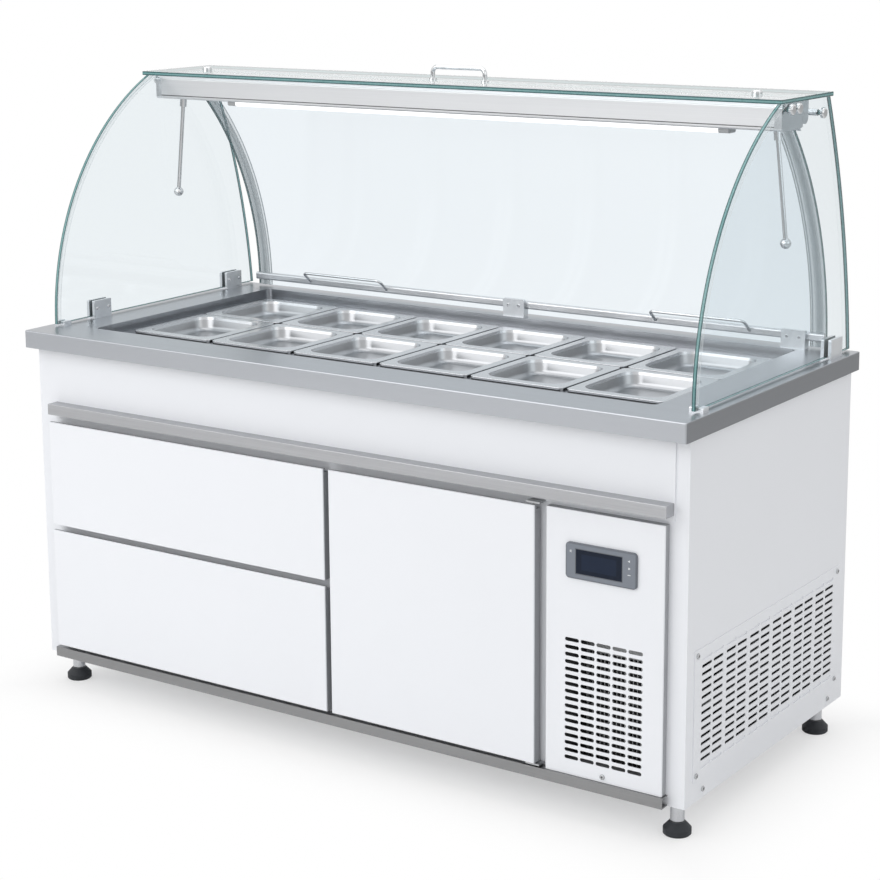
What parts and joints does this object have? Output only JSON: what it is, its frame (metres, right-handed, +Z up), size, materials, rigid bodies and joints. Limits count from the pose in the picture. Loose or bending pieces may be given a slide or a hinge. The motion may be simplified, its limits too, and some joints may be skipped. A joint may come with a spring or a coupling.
{
  "type": "salad bar",
  "caption": "Refrigerated salad bar with drawers, a hinged door, lift-out pans in a steel worktop and a curved glass canopy.",
  "frame": {"origin": "on the floor under the middle of the object", "axes": "+X along the front to the right, the drawers and door face -Y, +Z up"},
  "size_m": [1.5, 0.7, 1.278],
  "materials": {
    "white_coat": "satin",
    "white_sheet": "satin",
    "grey_steel": "satin",
    "steel": "satin",
    "pan_steel": "polished",
    "black_rubber": "matte",
    "seal_rubber": "matte",
    "glass": "gloss",
    "aluminium": "satin",
    "chrome": "polished",
    "grey_plastic": "satin",
    "dark_window": "gloss",
    "milky_plastic": "satin",
    "black_plastic": "satin",
    "black_metal": "satin"
  },
  "bodies": {
    "cabinet": {"base_rail": "grey_steel", "cabinet_body": "white_coat", "canopy_stays": "chrome", "cap_bolts": "chrome", "compressor": "black_metal", "condenser": "aluminium", "controller_bezel": "grey_plastic", "controller_display": "dark_window", "countertop": "steel", "door_hinges": "steel", "door_shelf": "steel", "evaporator": "aluminium", "front_top_panel": "white_sheet", "glass_clamps": "chrome", "handle_strip": "grey_steel", "led_lamp": "milky_plastic", "left_side_glass": "glass", "legs": "chrome", "light_bar": "aluminium", "light_bar_end_caps": "grey_plastic", "machine_panel": "white_sheet", "pan_deck": "steel", "panel_screws": "chrome", "rear_rests": "chrome", "right_side_glass": "glass", "runner_rails": "steel", "side_vent_panel": "white_sheet", "top_glass": "glass", "top_handle": "chrome"},
    "upper_drawer": {"upper_drawer_front": "white_coat", "upper_drawer_gasket": "seal_rubber", "upper_drawer_box": "steel"},
    "upper_slides": {"upper_runner_slides": "steel"},
    "lower_drawer": {"lower_drawer_front": "white_coat", "lower_drawer_gasket": "seal_rubber", "lower_drawer_box": "steel"},
    "lower_slides": {"lower_runner_slides": "steel"},
    "door": {"door_panel": "white_coat", "door_gasket": "seal_rubber"},
    "rear_pane": {"rear_glass": "glass", "rear_top_rail": "aluminium", "rear_bottom_rail": "aluminium", "rear_handles": "chrome"},
    "fan": {"condenser_fan": "black_plastic"},
    "front_pan_1": {"front_pan_1": "pan_steel"},
    "front_pan_2": {"front_pan_2": "pan_steel"},
    "front_pan_3": {"front_pan_3": "pan_steel"},
    "front_pan_4": {"front_pan_4": "pan_steel"},
    "front_pan_5": {"front_pan_5": "pan_steel"},
    "front_pan_6": {"front_pan_6": "pan_steel"},
    "rear_pan_1": {"rear_pan_1": "pan_steel"},
    "rear_pan_2": {"rear_pan_2": "pan_steel"},
    "rear_pan_3": {"rear_pan_3": "pan_steel"},
    "rear_pan_4": {"rear_pan_4": "pan_steel"},
    "rear_pan_5": {"rear_pan_5": "pan_steel"},
    "rear_pan_6": {"rear_pan_6": "pan_steel"},
    "front_left_foot": {"front_left_foot": "black_rubber"},
    "front_right_foot": {"front_right_foot": "black_rubber"},
    "rear_left_foot": {"rear_left_foot": "black_rubber"},
    "rear_right_foot": {"rear_right_foot": "black_rubber"}
  },
  "joints": [
    {"name": "upper_drawer_slide", "type": "slide", "parent": "cabinet", "child": "upper_drawer", "axis": [0, -1, 0], "range_m": [0, 0.42]},
    {"name": "upper_slides_slide", "type": "slide", "parent": "cabinet", "child": "upper_slides", "axis": [0, -1, 0], "range_m": [0, 0.21]},
    {"name": "lower_drawer_slide", "type": "slide", "parent": "cabinet", "child": "lower_drawer", "axis": [0, -1, 0], "range_m": [0, 0.42]},
    {"name": "lower_slides_slide", "type": "slide", "parent": "cabinet", "child": "lower_slides", "axis": [0, -1, 0], "range_m": [0, 0.21]},
    {"name": "door_hinge", "type": "hinge", "parent": "cabinet", "child": "door", "pos_m": [0.4495, -0.333, 0.33], "axis": [0, 0, 1], "range_deg": [0, 110]},
    {"name": "rear_pane_hinge", "type": "hinge", "parent": "cabinet", "child": "rear_pane", "pos_m": [0, 0.135, 1.208], "axis": [1, 0, 0], "range_deg": [0, 40]},
    {"name": "fan_spin", "type": "hinge", "parent": "cabinet", "child": "fan", "pos_m": [0.612, -0.2, 0.2], "axis": [0, 1, 0], "continuous": true},
    {"name": "front_pan_1_lift", "type": "slide", "parent": "cabinet", "child": "front_pan_1", "axis": [0, 0, 1], "range_m": [0, 0.1]},
    {"name": "front_pan_2_lift", "type": "slide", "parent": "cabinet", "child": "front_pan_2", "axis": [0, 0, 1], "range_m": [0, 0.1]},
    {"name": "front_pan_3_lift", "type": "slide", "parent": "cabinet", "child": "front_pan_3", "axis": [0, 0, 1], "range_m": [0, 0.1]},
    {"name": "front_pan_4_lift", "type": "slide", "parent": "cabinet", "child": "front_pan_4", "axis": [0, 0, 1], "range_m": [0, 0.1]},
    {"name": "front_pan_5_lift", "type": "slide", "parent": "cabinet", "child": "front_pan_5", "axis": [0, 0, 1], "range_m": [0, 0.1]},
    {"name": "front_pan_6_lift", "type": "slide", "parent": "cabinet", "child": "front_pan_6", "axis": [0, 0, 1], "range_m": [0, 0.1]},
    {"name": "rear_pan_1_lift", "type": "slide", "parent": "cabinet", "child": "rear_pan_1", "axis": [0, 0, 1], "range_m": [0, 0.1]},
    {"name": "rear_pan_2_lift", "type": "slide", "parent": "cabinet", "child": "rear_pan_2", "axis": [0, 0, 1], "range_m": [0, 0.1]},
    {"name": "rear_pan_3_lift", "type": "slide", "parent": "cabinet", "child": "rear_pan_3", "axis": [0, 0, 1], "range_m": [0, 0.1]},
    {"name": "rear_pan_4_lift", "type": "slide", "parent": "cabinet", "child": "rear_pan_4", "axis": [0, 0, 1], "range_m": [0, 0.1]},
    {"name": "rear_pan_5_lift", "type": "slide", "parent": "cabinet", "child": "rear_pan_5", "axis": [0, 0, 1], "range_m": [0, 0.1]},
    {"name": "rear_pan_6_lift", "type": "slide", "parent": "cabinet", "child": "rear_pan_6", "axis": [0, 0, 1], "range_m": [0, 0.1]},
    {"name": "front_left_foot_screw", "type": "slide", "parent": "cabinet", "child": "front_left_foot", "axis": [0, 0, -1], "range_m": [0, 0.02]},
    {"name": "front_right_foot_screw", "type": "slide", "parent": "cabinet", "child": "front_right_foot", "axis": [0, 0, -1], "range_m": [0, 0.02]},
    {"name": "rear_left_foot_screw", "type": "slide", "parent": "cabinet", "child": "rear_left_foot", "axis": [0, 0, -1], "range_m": [0, 0.02]},
    {"name": "rear_right_foot_screw", "type": "slide", "parent": "cabinet", "child": "rear_right_foot", "axis": [0, 0, -1], "range_m": [0, 0.02]}
  ],
  "couplings": [
    {"joint": "upper_slides_slide", "follows": "upper_drawer_slide", "ratio": 0.5},
    {"joint": "lower_slides_slide", "follows": "lower_drawer_slide", "ratio": 0.5}
  ]
}
